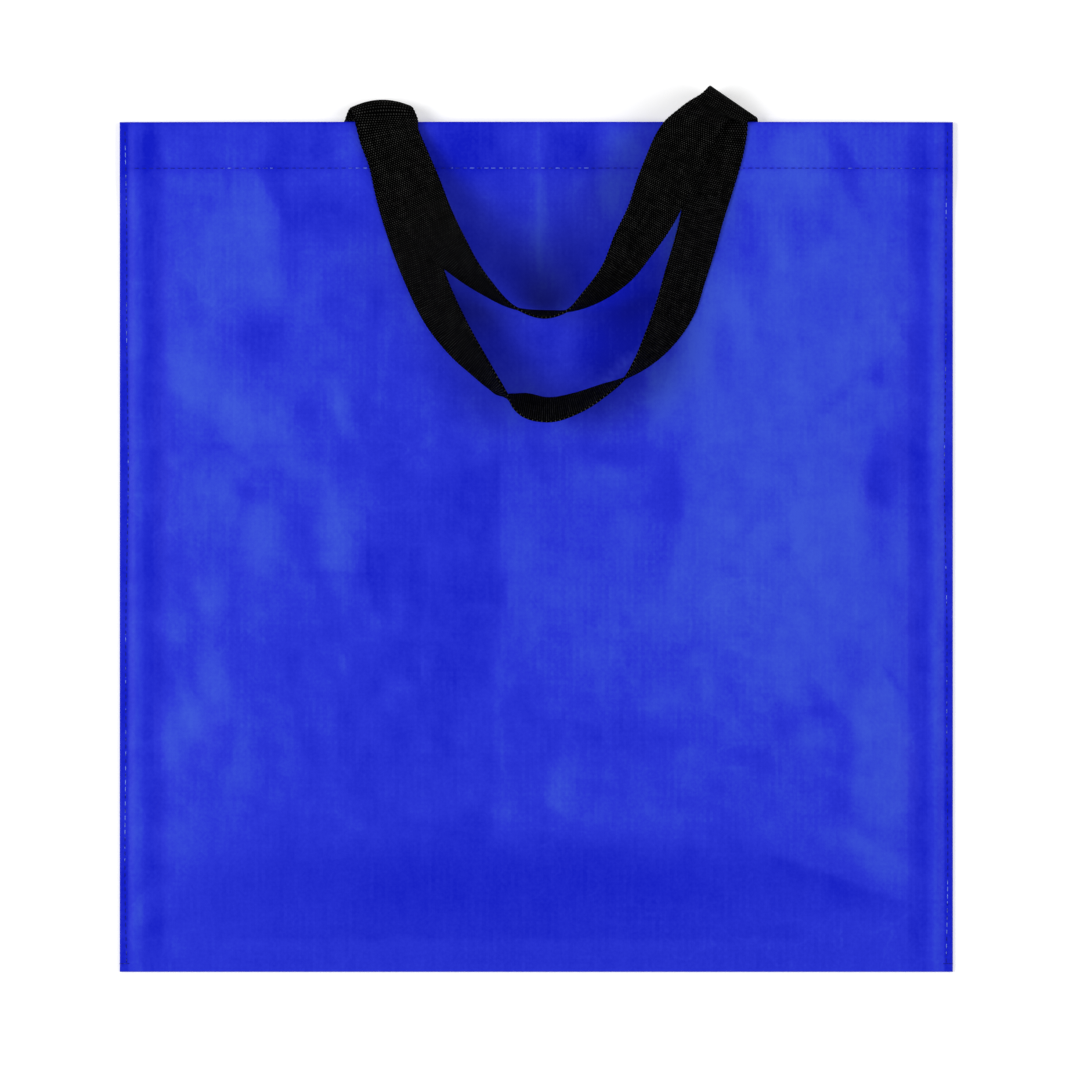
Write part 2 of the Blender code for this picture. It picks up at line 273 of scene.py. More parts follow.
BACK_LOOP = [
    (-78.4, 8.0, 2.8, 14, 3),
    (-73.5, 20.0, 3.2, 21, 6),
    (-67.2, 33.6, 5.0, 22, 15),
    (-56.8, 55.0, 12.5, 29, 32),
    (-46.6, 69.5, 22.5, 35, 49),
    (-37.6, 80.0, 24.0, 43, 63),
    (-27.3, 89.6, 18.0, 54, 75),
    (-11.1, 101.0, 10.0, 72, 90),
    (6.2, 104.3, 6.5, 91, 97),
    (17.0, 102.3, 7.5, 108, 90),
    (27.3, 96.2, 11.5, 130, 76),
    (43.2, 82.0, 19.0, 149, 57),
    (51.6, 68.0, 22.0, 151, 44),
    (61.5, 51.0, 24.0, 153, 33),
    (66.8, 38.5, 22.5, 155, 24),
    (73.0, 24.0, 15.5, 156, 18),
    (77.8, 13.4, 10.5, 158, 16),
    (83.0, 4.6, 7.5, 162, 20),
    (88.0, -1.5, 5.8, 165, 30),
    (93.4, -5.6, 4.6, 161, 34),
]

# Each handle's folds over the mouth, as the CAD has them
FRONT_LEFT_FOLD = {"right": 7.5, "azimuth": 0, "heading": 74}
FRONT_RIGHT_FOLD = {"right": -1.2, "azimuth": 180, "heading": 92}
BACK_LEFT_FOLD = {"right": 6.1, "azimuth": 1.5, "heading": 71,
                  "above": 7.3, "depth": 5.0, "raised": 0.0, "lean": 0, "bow": 4.0}
BACK_RIGHT_FOLD = {"right": 6.2, "azimuth": 146, "heading": 69,
                   "above": 10.3, "depth": 6.0, "raised": 7.6, "lean": 27, "bow": 0.0}
FOLD_TURNS = (-90, -60, -30, 0, 30, 60, 90)

# Creases and soft ridges of the front panel: from and to, each across the bag and down from the mouth,
# then half-width and height
CREASES = [
    (2.5, 8, 1.5, 80, 4.0, 0.45),
    (-20.0, 190, -19.0, 285, 3.0, -0.35),
    (-20.5, 318, -19.0, 385, 2.2, 0.30),
    (30, 166, 77, 180, 5.0, -0.50),
    (79, 181, 78, 228, 5.0, -0.45),
    (62, 205, 76, 232, 9.0, 0.50),
    (174, 170, 184, 206, 8.0, -0.70),
    (198, 172, 208, 208, 8.0, -0.50),
    (136, 35, 132, 85, 6.0, -0.35),
    (165, 10, 184, 52, 6.0, -0.45),
    (-206, 10, -196, 34, 4.0, 0.40),
    (-106, 205, -104, 240, 8.0, 0.55),
    (-146, 205, -145, 238, 8.0, 0.50),
    (-102, 145, -100, 168, 7.0, 0.40),
    (-178, 245, -172, 270, 8.0, 0.45),
    (-98, 256, -66, 300, 9.0, 0.40),
    (160, 386, 214, 414, 8.0, 0.60),
    (196, 300, 210, 322, 6.0, 0.45),
    (-205, 315, -186, 355, 9.0, 0.55),
]

# Lighter and darker patches of the film's painted sheen and painted shade, some of the darker ones
# painting the handles'
# shadows: place across the bag and down from the mouth, half-sizes across and down, turn in degrees
# clockwise, and strength
PATCHES = [
    (135, 125, 82, 165, 0, 0.34),
    (150, 262, 66, 70, 0, 0.16),
    (40, 262, 60, 62, 0, 0.12),
    (190, 345, 22, 48, 0, 0.28),
    (60, 355, 95, 34, 0, 0.06),
    (-168, 150, 46, 130, 0, 0.07),
    (150, 14, 66, 18, 0, 0.17),
    (-168, 62, 33, 42, 0, 0.20),
    (-149, 72, 12, 28, 0, 0.09),
    (-188, 80, 11, 13, 20, 0.10),
    (-110, 92, 34, 38, 0, 0.10),
    (-187, 128, 15, 20, 0, 0.24),
    (-168, 152, 32, 13, 28, 0.22),
    (-150, 190, 50, 60, 0, 0.08),
    (-170, 14, 24, 12, 0, 0.14),
    (-201, 12, 3, 15, -18, 0.25),
    (-150, 14, 4, 13, 12, 0.20),
    (-99, 14, 7, 13, 0, 0.22),
    (-140, 24, 6, 22, 0, -0.20),
    (-116, 12, 7, 12, 0, -0.12),
    (-112, 52, 30, 15, 0, -0.22),
    (-210, 30, 7, 34, 0, -0.10),
    (-167, 36, 2.5, 9, 0, -0.16),
    (-177, 46, 4, 8, 0, -0.10),
    (-183, 71, 9, 3.5, 35, -0.12),
    (-151, 113, 15, 14, 0, -0.21),
    (-112, 103, 5, 9, 0, -0.16),
    (-86, 98, 4.5, 9, 0, -0.15),
    (-123, 119, 6, 7, 0, -0.10),
    (-197, 183, 5, 5, 0, 0.18),
    (-170, 200, 10, 17, 0, 0.18),
    (-124, 157, 8, 11, 0, -0.18),
    (-104, 158, 5, 19, -20, 0.30),
    (-128, 183, 12, 14, 0, 0.14),
    (-155, 199, 8, 8, 0, -0.18),
    (-146, 222, 8, 23, 0, 0.26),
    (-107, 224, 10, 24, 0, 0.32),
    (-129, 226, 7, 20, 0, -0.10),
    (-85, 152, 3, 18, 0, 0.10),
    (-57, 162, 3, 14, 0, 0.10),
    (-56, 235, 38, 80, 0, -0.13),
    (-83, 233, 12, 6, 0, -0.12),
    (-60, 330, 62, 70, 0, -0.10),
    (-175, 256, 9, 13, 0, 0.28),
    (-195, 274, 9, 9, 0, 0.18),
    (-175, 299, 8, 16, -18, 0.28),
    (-195, 332, 12, 22, 18, 0.34),
    (-170, 350, 40, 60, 0, 0.07),
    (-92, 258, 4, 7, 0, 0.28),
    (-87, 272, 6, 10, -20, 0.20),
    (-103, 292, 2.5, 5, 0, 0.25),
    (-61, 296, 3, 6, 0, 0.26),
    (-75, 308, 9, 13, 0, 0.14),
    (-158, 337, 4, 13, 0, 0.12),
    (-20, 327, 2.2, 31, 0, 0.20),
    (-19, 374, 7, 13, 0, 0.20),
    (-10, 413, 190, 29, 0, -0.28),
    (30, 414, 110, 22, 0, -0.04),
    (-211, 422, 5, 15, 30, 0.34),
    (-198, 398, 20, 26, 0, 0.14),
    (-207, 401, 6, 3, 0, -0.06),
    (-204, 435, 11, 4, -12, -0.09),
    (-194, 444, 6, 7, 0, 0.10),
    (0, 450, 230, 12, 0, -0.09),
    # The next ten patches paint the light and shade about the handles: painted shade beside and inside
    # their loops, a painted highlight along the front loop's inner edge, and lighter patches outside it
    (-40, 18, 22, 22, -35, -0.34),
    (6, 121, 40, 13, 0, -0.26),
    (48, 106, 21, 42, 16, -0.62),
    (86, 126, 11, 34, 28, 0.22),
    (20, 172, 22, 8, 0, 0.06),
    (-40, 108, 14, 22, -35, -0.20),
    (44, 134, 18, 2.5, -38, 0.45),
    (3, 117, 12, 11, 0, 0.10),
    (-24, 76, 14, 26, -25, -0.16),
    (36, 78, 14, 26, 30, -0.12),
    (-12, 14, 7, 14, 0, 0.06),
    (2, 14, 5, 16, 0, 0.30),
    (2.5, 52, 3, 30, 0, 0.26),
    (20, 14, 12, 13, 0, -0.16),
    (24, 60, 18, 32, 0, -0.06),
    (49, 13, 15, 13, 0, 0.26),
    (41, 36, 7, 16, 0, 0.20),
    (121, 12, 8, 12, 0, -0.14),
    (117, 70, 9, 42, 0, -0.16),
    (145, 18, 15, 18, 0, 0.08),
    (168, 26, 5.5, 26, -24, -0.34),
    (146, 57, 13, 16, 0, -0.24),
    (155, 55, 3, 9, 0, -0.12),
    (132, 76, 2.5, 8, 0, 0.16),
    (97, 124, 3.5, 20, 5, -0.16),
    (174, 104, 4, 8, 0, -0.14),
    (163, 148, 4, 15, 42, -0.20),
    (193, 103, 2.5, 9, -22, -0.26),
    (186, 135, 5, 10, 0, -0.26),
    (204, 91, 3, 15, 0, 0.16),
    (191, 188, 16, 25, 20, -0.32),
    (184, 195, 9, 14, 0, -0.16),
    (49, 155, 11, 14, 0, 0.06),
    # Painted shadow below the front loop
    (40, 179, 20, 6, 14, -0.22),
    (69, 203, 11, 25, 8, -0.20),
    (61, 195, 18, 34, 0, -0.08),
    (1, 184, 4.5, 17, 0, -0.14),
    (33, 191, 17, 11, 0, 0.08),
    (58, 222, 10, 11, 0, 0.18),
    (105, 240, 5, 14, 0, -0.14),
    (133, 231, 6, 6, 0, -0.16),
    (187, 229, 6, 8, 0, -0.14),
    (110, 205, 14, 5, -30, -0.08),
    (120, 212, 5, 16, 30, -0.10),
    (11, 258, 7, 5, 0, 0.12),
    (72, 271, 12, 10, 0, 0.10),
    (192, 302, 2.5, 11, -38, -0.26),
    (137, 323, 6, 10, 0, -0.20),
    (153, 319, 9, 3, 15, -0.20),
    (168, 332, 6, 20, 0, -0.15),
    (117, 345, 9, 9, 0, -0.16),
    (164, 370, 8, 8, 0, -0.10),
    (92, 307, 4, 9, 0, 0.16),
    (152, 332, 10, 7, 15, 0.14),
    (42, 330, 46, 11, 0, -0.16),
    (13, 363, 8, 11, -30, 0.16),
    (76, 379, 13, 8, 15, 0.10),
    (118, 384, 11, 8, 20, 0.10),
    (187, 400, 30, 9, 28, 0.27),
    (204, 427, 7, 6, 0, 0.18),
    (164, 417, 7, 9, 0, -0.12),
    (215, 445, 6, 12, 0, 0.10),
]

# Crisp edges of the painted sheen, where a faint fold of the film is painted as a step of light: from
# and to, each across the bag and down from the mouth, how far the step carries, and its strength,
# lighter on the left of the way from-to
EDGES = [
    (-24, 300, -17, 252, 22, -0.10),
    (-17, 252, -20, 188, 24, -0.11),
    (74, 238, 80, 212, 14, -0.08),
    (80, 212, 77, 184, 14, -0.09),
    (-137.5, 102, -137.5, 52, 16, 0.06),
    (-137.5, 52, -150, 27, 12, 0.12),
    (-170, 441, 140, 441, 7, -0.09),
    (130, 396, 206, 424, 12, 0.12),
    (177, 200, 182, 168, 12, 0.10),
    (-92, 262, -92, 212, 14, 0.07),
    (-149, 243.5, -84, 241, 8, 0.06),
    (-116, 272, -99, 261, 5, 0.07),
    (-181, 175, -166, 173, 5, 0.06),
    (-167, 173, -151, 186, 7, 0.07),
    (-166, 184, -150, 200, 5, 0.06),
    (106, 230, 142, 205, 9, -0.06),
    (142, 205, 172, 202, 7, -0.05),
    (112, 96, 126, 132, 8, -0.05),
    (150, 300, 168, 322, 7, 0.06),
    (-184, 232, -176, 262, 6, -0.07),
    (-214, 434, -204, 415, 5, -0.09),
    (-206, 424, -194, 404, 7, -0.06),
    (-196, 300, -188, 330, 7, 0.07),
    (60, 168, 60, 138, 12, -0.10),
    (30, 80, 34, 6, 10, -0.05),
]


def smooth(t):
    """A step from 0 to 1 that starts and ends level: 3t^2 - 2t^3 on t held between 0 and 1."""
    t = np.clip(t, 0.0, 1.0)
    return t * t * (3 - 2 * t)


def hill(distance, width):
    """A bell: e to the power of minus the square of distance over width."""
    return np.exp(-(distance / width) ** 2)


def before(distance, end, length):
    """1 well before the end, falling to 0 at it by the smooth step over the length."""
    return smooth((end - distance) / length)


def at_least(least, share):
    """From the least to 1 as the share goes from 0 to 1."""
    return least + (1 - least) * share


def band(distance, place, width, height, power=2):
    """A height times e to minus the power of the distance from the place over the width."""
    return height * np.exp(-((distance - place) / width) ** power)


def panel_spacing(x, y):
    """Distance between the middles of the two panels' sheet.

    It is one ply pitch at the seams and the bottom fold, three where the hems lie between the panels,
    and more in the middle, by a cubic crown across the bag and a rise and fall along it.
    """
    half = WIDTH / 2 - SEAM_WIDTH
    crown = 1 - np.clip(np.abs(x) / half, 0.0, 1.0) ** 3
    drop = MOUTH - y
    rise = 1 - (1 - np.clip((y + HEIGHT / 2) / BOTTOM_RISE, 0.0, 1.0)) ** 2
    level = BELLY + (MOUTH_OPENING - PLY_GAP - BELLY) * smooth(1 - drop / MOUTH_FALL)
    hems = 2 * PLY_PITCH * smooth(1 - (drop - HEM_DEPTH) / HEM_FADE)
    return PLY_PITCH + hems + level * rise * crown


def smooth_top(x, y):
    """Height of the front panel's outer face without its creases."""
    return SHEET + panel_spacing(x, np.minimum(y, MOUTH))


def waves(x, y, seed, count, lengths, slope):
    """Sum of plane waves of random direction and phase, each as steep as the others.

    A wave of length L adds L over 2 pi times its slope times the sine of its phase. The places are first
    pushed sideways by one long wave, so that the crests aren't straight.
    """
    random = np.random.default_rng(seed)
    length = np.exp(random.uniform(np.log(lengths[0]), np.log(lengths[1]), count))
    angle = random.uniform(0, math.pi, count)
    phase = random.uniform(0, 2 * math.pi, count)
    bend = lengths[1] / 2
    bent_x = x + WAVE_BEND * bend * np.sin(y / bend + phase[0])
    bent_y = y + WAVE_BEND * bend * np.sin(x / bend + phase[1])
    total = np.zeros(np.broadcast(x, y).shape)
    for run, turn, start in zip(length, angle, phase):
        step = (bent_x * math.cos(turn) + bent_y * math.sin(turn)) * 2 * math.pi / run
        total += run / (2 * math.pi) * slope * np.sin(step + start)
    return total / math.sqrt(count / 2)


def by_line(x, drop, x0, d0, x1, d1):
    """How far places lie off a line from one point to another, to its left, and past either end."""
    run = math.hypot(x1 - x0, d1 - d0)
    along = ((x - x0) * (x1 - x0) + (drop - d0) * (d1 - d0)) / run
    off = ((x - x0) * (d1 - d0) - (drop - d0) * (x1 - x0)) / run
    return off, np.maximum(np.maximum(-along, along - run), 0.0)


def crease(x, drop, x0, d0, x1, d1, width, height):
    """A soft fold along a line: a bell across it, which fades out as a bell past each end."""
    off, past = by_line(x, drop, x0, d0, x1, d1)
    return height * hill(off, width) * hill(past, CREASE_FADE * width)


def relief(x, y):
    """How far the front panel stands off its smooth form: waves, creases, seam ridges, the sewn line.

    It fades out at the seams and the bottom fold. Under the handles nothing rises by more than a trace.
    """
    drop = MOUTH - y
    edge = WIDTH / 2 - np.abs(x)
    low = HEIGHT - drop
    inner = smooth((edge - SEAM_WIDTH) / SEAM_FADE) * smooth(low / BOTTOM_FADE)
    inner = inner * at_least(HEM_SHARE, smooth(drop / MOUTH_FADE))
    form = waves(x, y, *LONG_WAVES) + waves(x, y, *SHORT_WAVES)
    for row in CREASES:
        form = form + crease(x, drop, *row)
    form = form * inner
    under_handles = hill(x - HANDLE_SHIFT, HANDLE_REACH) * before(drop, *HANDLE_END)
    form = form - np.maximum(form - HANDLE_ROOM, 0) * smooth(HANDLE_PRESS * under_handles)
    place, length = SEAM_EDGE
    inside_seam = smooth((edge - place) / length)
    ridge = (band(edge, *SEAM_RIDGE) + band(edge, *SEAM_VALLEY)) * inside_seam
    ridge = ridge * smooth(low / RIDGE_FOOT) * smooth(drop / RIDGE_HEAD + RIDGE_AT_MOUTH)
    pucker = band(drop, *PUCKER) * np.sin(2 * math.pi * x / PUCKER_PITCH)
    hem = band(drop, *SEWN_DIP) + pucker + HEM_STEP_HEIGHT * before(drop, *HEM_STEP)
    return form + ridge + hem * inside_seam


def panel_top(x, y):
    """Height of the front panel's outer face."""
    return smooth_top(x, y) + relief(x, y)


def edge_step(x, drop, x0, d0, x1, d1, carry, strength):
    """A step across a line: the hyperbolic tangent of how far off it a place lies, times two bells."""
    off, past = by_line(x, drop, x0, d0, x1, d1)
    return strength * np.tanh(off / EDGE_CRISP) * hill(off, carry) * hill(past, EDGE_FADE)


def painted_light_tone(x, y):
    """The film's painted sheen and painted shade: listed patches and edges, ripples, and the bands at
    seams and hem.

    A patch is its strength times e to the minus cube of the distance from its middle, in half-sizes.
    """
    drop = MOUTH - y
    edge = WIDTH / 2 - np.abs(x)
    drift = waves(x, y, *DRIFT_WAVES)
    push = waves(x, y, *PUSH_WAVES)
    tone = np.full(np.broadcast(x, y).shape, SHEEN_LEVEL)
    for cx, cd, across, down, turn, strength in PATCHES:
        c, s = math.cos(math.radians(turn)), math.sin(math.radians(turn))
        dx, dy = x + drift - cx, drop + push - cd
        away = np.hypot((dx * c + dy * s) / across, (dy * c - dx * s) / down)
        tone += strength * np.exp(-away ** 3)
    for row in EDGES:
        tone += edge_step(x + EDGE_DRIFT * drift, drop + EDGE_DRIFT * push, *row)
    ripple = waves(x, y, *BROAD_RIPPLE) + waves(x, y, *FINE_RIPPLE)
    ripple = ripple + waves(x, TALL_SHARE * y, *TALL_RIPPLE)
    tone += ripple * at_least(LOW_RIPPLE, before(drop, *RIPPLE_END))
    ends = smooth(drop / VALLEY_HEAD) * smooth((HEIGHT - drop) / VALLEY_FOOT)
    tone += band(edge, *VALLEY_SHADE) * at_least(VALLEY_SHARE, ends)
    tone += band(edge, *RIDGE_SHEEN) * (1 - band(drop, *RIDGE_LOSS))
    tone += SEAM_SHADE * before(edge, *SEAM_STRIP) + HEM_SHADE * before(drop, *HEM_STRIP)
    tone += band(drop, *LINE_SHADE) + band(drop, *MOUTH_SHADE)
    return np.clip(tone, 0.0, 1.0)


def spaced(stops, steps):
    """Positions from the first stop to the last, each stretch cut evenly into steps of its own size."""
    runs = [np.linspace(a, b, max(1, math.ceil(abs(b - a) / step)), endpoint=False)
            for a, b, step in zip(stops[:-1], stops[1:], steps)]
    return np.concatenate(runs + [[stops[-1]]])


def sheet_surface():
    """The folded sheet's middle surface, in rows from the front hem's free edge round to the back's.

    Returns points as rows by columns by 3 and the painted sheen and shade at each point. A fold is half
    a circle in the plane across it, and the front's plies all carry the front panel's relief.
    """
    seam = WIDTH / 2 - SEAM_WIDTH
    x = spaced((-WIDTH / 2, -seam, SEAM_MESH - seam, seam - SEAM_MESH, seam, WIDTH / 2),
               (FINE, FINE, COARSE, FINE, FINE))
    fold_y = MOUTH - SHEET / 2 - FOLD_RADIUS
    low_y = -HEIGHT / 2 + SHEET / 2 + FOLD_RADIUS
    turn = np.linspace(0, math.pi, FOLD_STEPS + 1)[1:-1]
    back = SHEET / 2
    hem_y = spaced((fold_y - HEM_DEPTH, fold_y), (COARSE,))
    line_y = MOUTH - HEM_LINE
    panel_y = spaced((fold_y, fold_y - TURN_MESH, line_y + LINE_MESH[0], line_y - LINE_MESH[1],
                      low_y + BOTTOM_MESH, low_y),
                     (LINE_STEP, COARSE, LINE_STEP, COARSE, BOTTOM_STEP))
    flat_y = spaced((low_y, fold_y), (2 * COARSE,))

    def front(y):
        return back + panel_spacing(x, y) + relief(x, y)

    def rise(y):
        return front(y[:, None])

    def level(count, z):
        return np.full((count, len(x)), z)

    sine, cosine = np.sin(turn)[:, None], np.cos(turn)[:, None]
    low_span = (front(low_y) - back)[None, :]
    plies = [
        (hem_y, rise(hem_y) - PLY_PITCH),
        (fold_y + FOLD_RADIUS * np.sin(turn),
         front(fold_y) - PLY_PITCH + FOLD_RADIUS * (1 - cosine)),
        (panel_y, rise(panel_y)),
        (low_y - FOLD_RADIUS * np.sin(turn), back + low_span * (1 + cosine) / 2 + 0 * sine),
        (flat_y, level(len(flat_y), back)),
        (fold_y + FOLD_RADIUS * np.sin(turn), back + FOLD_RADIUS * (1 - cosine) + 0 * x),
        (hem_y[::-1], level(len(hem_y), back + PLY_PITCH)),
    ]
    y = np.concatenate([rows for rows, _ in plies])
    z = np.concatenate([heights for _, heights in plies])
    across, along = np.meshgrid(x, y)
    tone = painted_light_tone(across, along)
    outside = np.zeros(len(y), bool)
    outside[len(hem_y):len(hem_y) + len(turn) + len(panel_y) + 1] = True
    quiet = BACK_LEVEL + BACK_SHARE * (painted_light_tone(-across, along) - 0.5)
    return np.stack((across, along, z), axis=2), np.where(outside[:, None], tone, quiet)


def direction(azimuth, lean):
    """Unit vector from the webbing's lower edge to its upper one."""
    a = math.radians(azimuth)
    b = math.radians(lean)
    return (math.cos(b) * math.cos(a), math.cos(b) * math.sin(a), math.sin(b))


def leg_station(row):
    """A station of a strap over the front panel: its middle, the direction across it, the length of a
    line across it in widths, and how far its middle bows out."""
    x, drop, low, azimuth, lean = row
    a = math.radians(azimuth)
    b = math.radians(lean)
    reach = STRAP_WIDTH / 2 * math.cos(b)
    under = smooth_top(x - reach * math.cos(a), MOUTH - drop - reach * math.sin(a))
    thick = STRAP_THICKNESS / 2 * abs(math.cos(b))
    z = under + low + thick + STRAP_WIDTH / 2 * math.sin(b)
    return (x, MOUTH - drop, float(z), *direction(azimuth, lean), 1.0, 0.0)


def mouth_fold(x, fold, heights, leans):
    """Stations of a strap that comes up inside the mouth and folds forward over it.

    The strap turns round half an ellipse about the fold's top line and moves along that line as its
    heading asks. A line that crosses the webbing at a slant is longer than the webbing is wide.
    """
    a = math.radians(fold["azimuth"])
    along = np.array((math.cos(a), math.sin(a)))
    away = np.array((-along[1], along[0])) * math.copysign(1, along[0])
    h = math.radians(fold["heading"])
    up = np.array((math.cos(h), math.sin(h)))
    middle = sum(heights) / 2
    half = (heights[1] - heights[0]) / 2
    slip = math.pi / 2 * (fold["depth"] + half) / 2 * up.dot(along) / up.dot(away)
    top_line = np.array((x + fold["right"], MOUTH + fold["above"]))
    stations = []
    for turn in np.radians(FOLD_TURNS):
        plan = (top_line + (math.cos(turn) - 1) * fold["depth"] * away
                + turn / (math.pi / 2) * slip * along)
        lean = leans[0] + (leans[1] - leans[0]) * (1 + math.sin(turn)) / 2
        across = direction(fold["azimuth"], lean)
        stations.append((*plan, middle + half * math.sin(turn), *across,
                         1 / up.dot(away), fold["bow"] * math.cos(turn)))
    return stations


def sewn_end(x, z, azimuth, lean):
    """Stations of a strap end that lies flat on the inside of its hem."""
    across = direction(azimuth, lean)
    return [(x, MOUTH - SEWN_LENGTH * share, z, *across, 1.0, 0.0) for share in (1.0, 0.5)]


def handle_sides(x, azimuth, front_fold, back_fold):
    """Stations of both handles where they leave the mouth at x, from their sewn ends to the front."""
    hem = SHEET + PLY_PITCH
    half = STRAP_THICKNESS / 2 + STRAP_GAP
    wrap = hem / 2 + half
    round_hem = {"above": wrap - SHEET / 2 - FOLD_RADIUS, "depth": wrap, "bow": 0.0}
    top = float(smooth_top(x, MOUTH))
    slope = float(smooth_top(abs(x) - 1, MOUTH) - smooth_top(abs(x) + 1, MOUTH)) / 2
    lean = math.degrees(math.atan(slope))
    front_in = top - hem - half - SLACK
    front_out = top + half + SLACK
    back_in = hem + half
    back_out = front_out + STRAP_THICKNESS + STRAP_GAP + SLACK + back_fold["raised"]
    front = sewn_end(x, front_in, azimuth, lean)
    front += mouth_fold(x, {**front_fold, **round_hem}, (front_in, front_out), (lean, lean))
    back = sewn_end(x, back_in, azimuth, 0)
    back += mouth_fold(x, back_fold, (back_in, back_out), (0, back_fold["lean"]))
    return front, back


def smooth_route(stations, step):
    """Points of a cubic Hermite curve through the stations, each span in pieces of about one step.

    A height, lean or length that stops rising or falling at a station is level there.
    """
    p = np.array(stations, float)
    length = np.linalg.norm(np.diff(p[:, :3], axis=0), axis=1)
    slope = np.diff(p, axis=0) / length[:, None]
    share = (length[:-1] / (length[:-1] + length[1:]))[:, None]
    inner = slope[:-1] * (1 - share) + slope[1:] * share
    steady = STEADY_COLUMNS
    inner[:, steady] *= slope[:-1, steady] * slope[1:, steady] > STILL
    tangent = np.concatenate((slope[:1], inner, slope[-1:]))
    route = []
    for k, span in enumerate(length):
        t = np.linspace(0, 1, max(1, math.ceil(span / step)), endpoint=False)[:, None]
        route.append((2 * t**3 - 3 * t**2 + 1) * p[k] + (t**3 - 2 * t**2 + t) * span * tangent[k]
                     + (3 * t**2 - 2 * t**3) * p[k + 1] + (t**3 - t**2) * span * tangent[k + 1])
    route.append(p[-1:])
    return np.concatenate(route)


def strap_section():
    """Half of the webbing's section: places across it, -1 to 1, and half its thickness at each.

    The edges are round, and a woven edge bead stands a little proud inside them.
    """
    edge = 1 - EDGE_ROUND * (1 - np.cos(np.linspace(0, math.pi / 2, ROUND_PLACES)))
    s = np.unique(np.round(np.concatenate((-edge, np.linspace(*FLAT_PLACES), edge)), 6))
    rim = np.clip((np.abs(s) - (1 - EDGE_ROUND)) / EDGE_ROUND, 0, 1)
    half = 0.5 + band(np.abs(s), *EDGE_BEAD) - THINNER * (1 - rim)
    return s, np.sqrt(1 - rim ** 2) * half * STRAP_THICKNESS


def strap_surface(stations):
    """The webbing as a closed section carried along its route.

    Returns points as rings by section points by 3, and for each the way along and across the webbing.
    A section point lies at middle + s * half-width + bow * (1 - s^2) + side * half-thickness * normal.
    Near its edges the half-width swells and shrinks as the weft turns back, by a sine of the way along.
    """
    route = smooth_route(stations, STRAP_STEP)
    middle = route[:, :3]
    across = unit(route[:, 3:6])
    normal = unit(np.cross(np.gradient(middle, axis=0), across))
    bow = route[:, 7:8] * np.cross((0.0, 0.0, 1.0), across)
    half_width = across * STRAP_WIDTH / 2 * route[:, 6:7]
    s, half = strap_section()
    ring_s = np.concatenate((s, s[-2:0:-1]))
    ring_half = np.concatenate((half, -half[-2:0:-1]))
    way = np.concatenate(([0], np.cumsum(np.linalg.norm(np.diff(middle, axis=0), axis=1))))
    swell = np.sin(2 * math.pi * way[:, None] / LOOP_PITCH + ring_s[None])
    swell = swell * np.abs(ring_s[None]) ** LOOP_POWER
    place = ring_s[None] * (1 + swell * LOOP_DEPTH / (STRAP_WIDTH / 2))
    points = (middle[:, None] + place[:, :, None] * half_width[:, None]
              + (1 - ring_s ** 2)[None, :, None] * bow[:, None]
              + ring_half[None, :, None] * normal[:, None])
    uv = np.stack(np.broadcast_arrays(way[:, None], ring_s[None] * STRAP_WIDTH / 2), axis=2)
    return points, uv


def unit(vectors):
    """Each row at length 1."""
    return vectors / np.linalg.norm(vectors, axis=1)[:, None]


def stitch_surface(x, y, z, ahead, side):
    """Threads: each stitch is a round tube that arches over the sheet and dives in at both ends.

    They lie at places x, y, z, each along its direction ahead, over the sheet for side 1 and under it
    for side -1. At place s, -1 to 1, along a stitch the tube's middle is raised by the rest times
    1 - s^4 less the sink times s^4, and its radius is the thread's times 1 less the taper times s^4.
    Returns points as stitches by rings by sides by 3.
    """
    centres = np.stack(np.broadcast_arrays(x, y, z), axis=1)
    ahead = np.broadcast_to(ahead, centres.shape)
    up = np.broadcast_to((0.0, 0.0, float(side)), centres.shape)
    beside = np.cross(up, ahead)
    s = np.array(STITCH_RINGS)
    angle = np.linspace(0, 2 * math.pi, STITCH_SIDES, endpoint=False)
    rise = THREAD_RADIUS * (THREAD_REST - (THREAD_REST + THREAD_SINK) * s ** 4)
    middle = (centres[:, None] + s[None, :, None] * STITCH_LENGTH / 2 * ahead[:, None]
              + rise[None, :, None] * up[:, None])
    radius = THREAD_RADIUS * (1 - THREAD_TAPER * s ** 4)
    spoke = (np.cos(angle)[None, :, None] * up[:, None]
             + np.sin(angle)[None, :, None] * beside[:, None])
    return middle[:, :, None] + radius[None, :, None, None] * spoke[:, None]


def grid_faces(rows, columns, closed=False):
    """Corner numbers of the four-sided faces of a grid, whose columns may run round and close."""
    across = columns if closed else columns - 1
    r, c = np.meshgrid(np.arange(rows - 1), np.arange(across), indexing="ij")
    nxt = (c + 1) % columns
    near, far = r * columns, (r + 1) * columns
    return np.stack((near + c, far + c, far + nxt, near + nxt), axis=2).reshape(-1, 4)


def add_piece(name, points, faces, materials, uv=None, tone=None):
    """A smooth mesh from points in millimetres and a list of face arrays, riding on the bag."""
    mesh = bpy.data.meshes.new(name)
    corners = [face for group in faces for face in group.tolist()]
    flat = points.reshape(-1, 3) * MM
    mesh.from_pydata(flat.tolist(), [], corners)
    mesh.polygons.foreach_set("use_smooth", np.ones(len(mesh.polygons), bool))
    for material in materials:
        mesh.materials.append(material)
    if uv is not None:
        index = np.zeros(len(mesh.loops), np.int32)
        mesh.loops.foreach_get("vertex_index", index)
        layer = mesh.uv_layers.new(name="cloth")
        layer.data.foreach_set("uv", (uv.reshape(-1, 2)[index] * MM).astype(np.float32).ravel())
    if tone is not None:
        layer = mesh.attributes.new("painted_light", "FLOAT", "POINT")
        layer.data.foreach_set("value", tone.astype(np.float32).ravel())
    item = bpy.data.objects.new(name, mesh)
    bpy.context.scene.collection.objects.link(item)
    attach(item, "root")
    return item


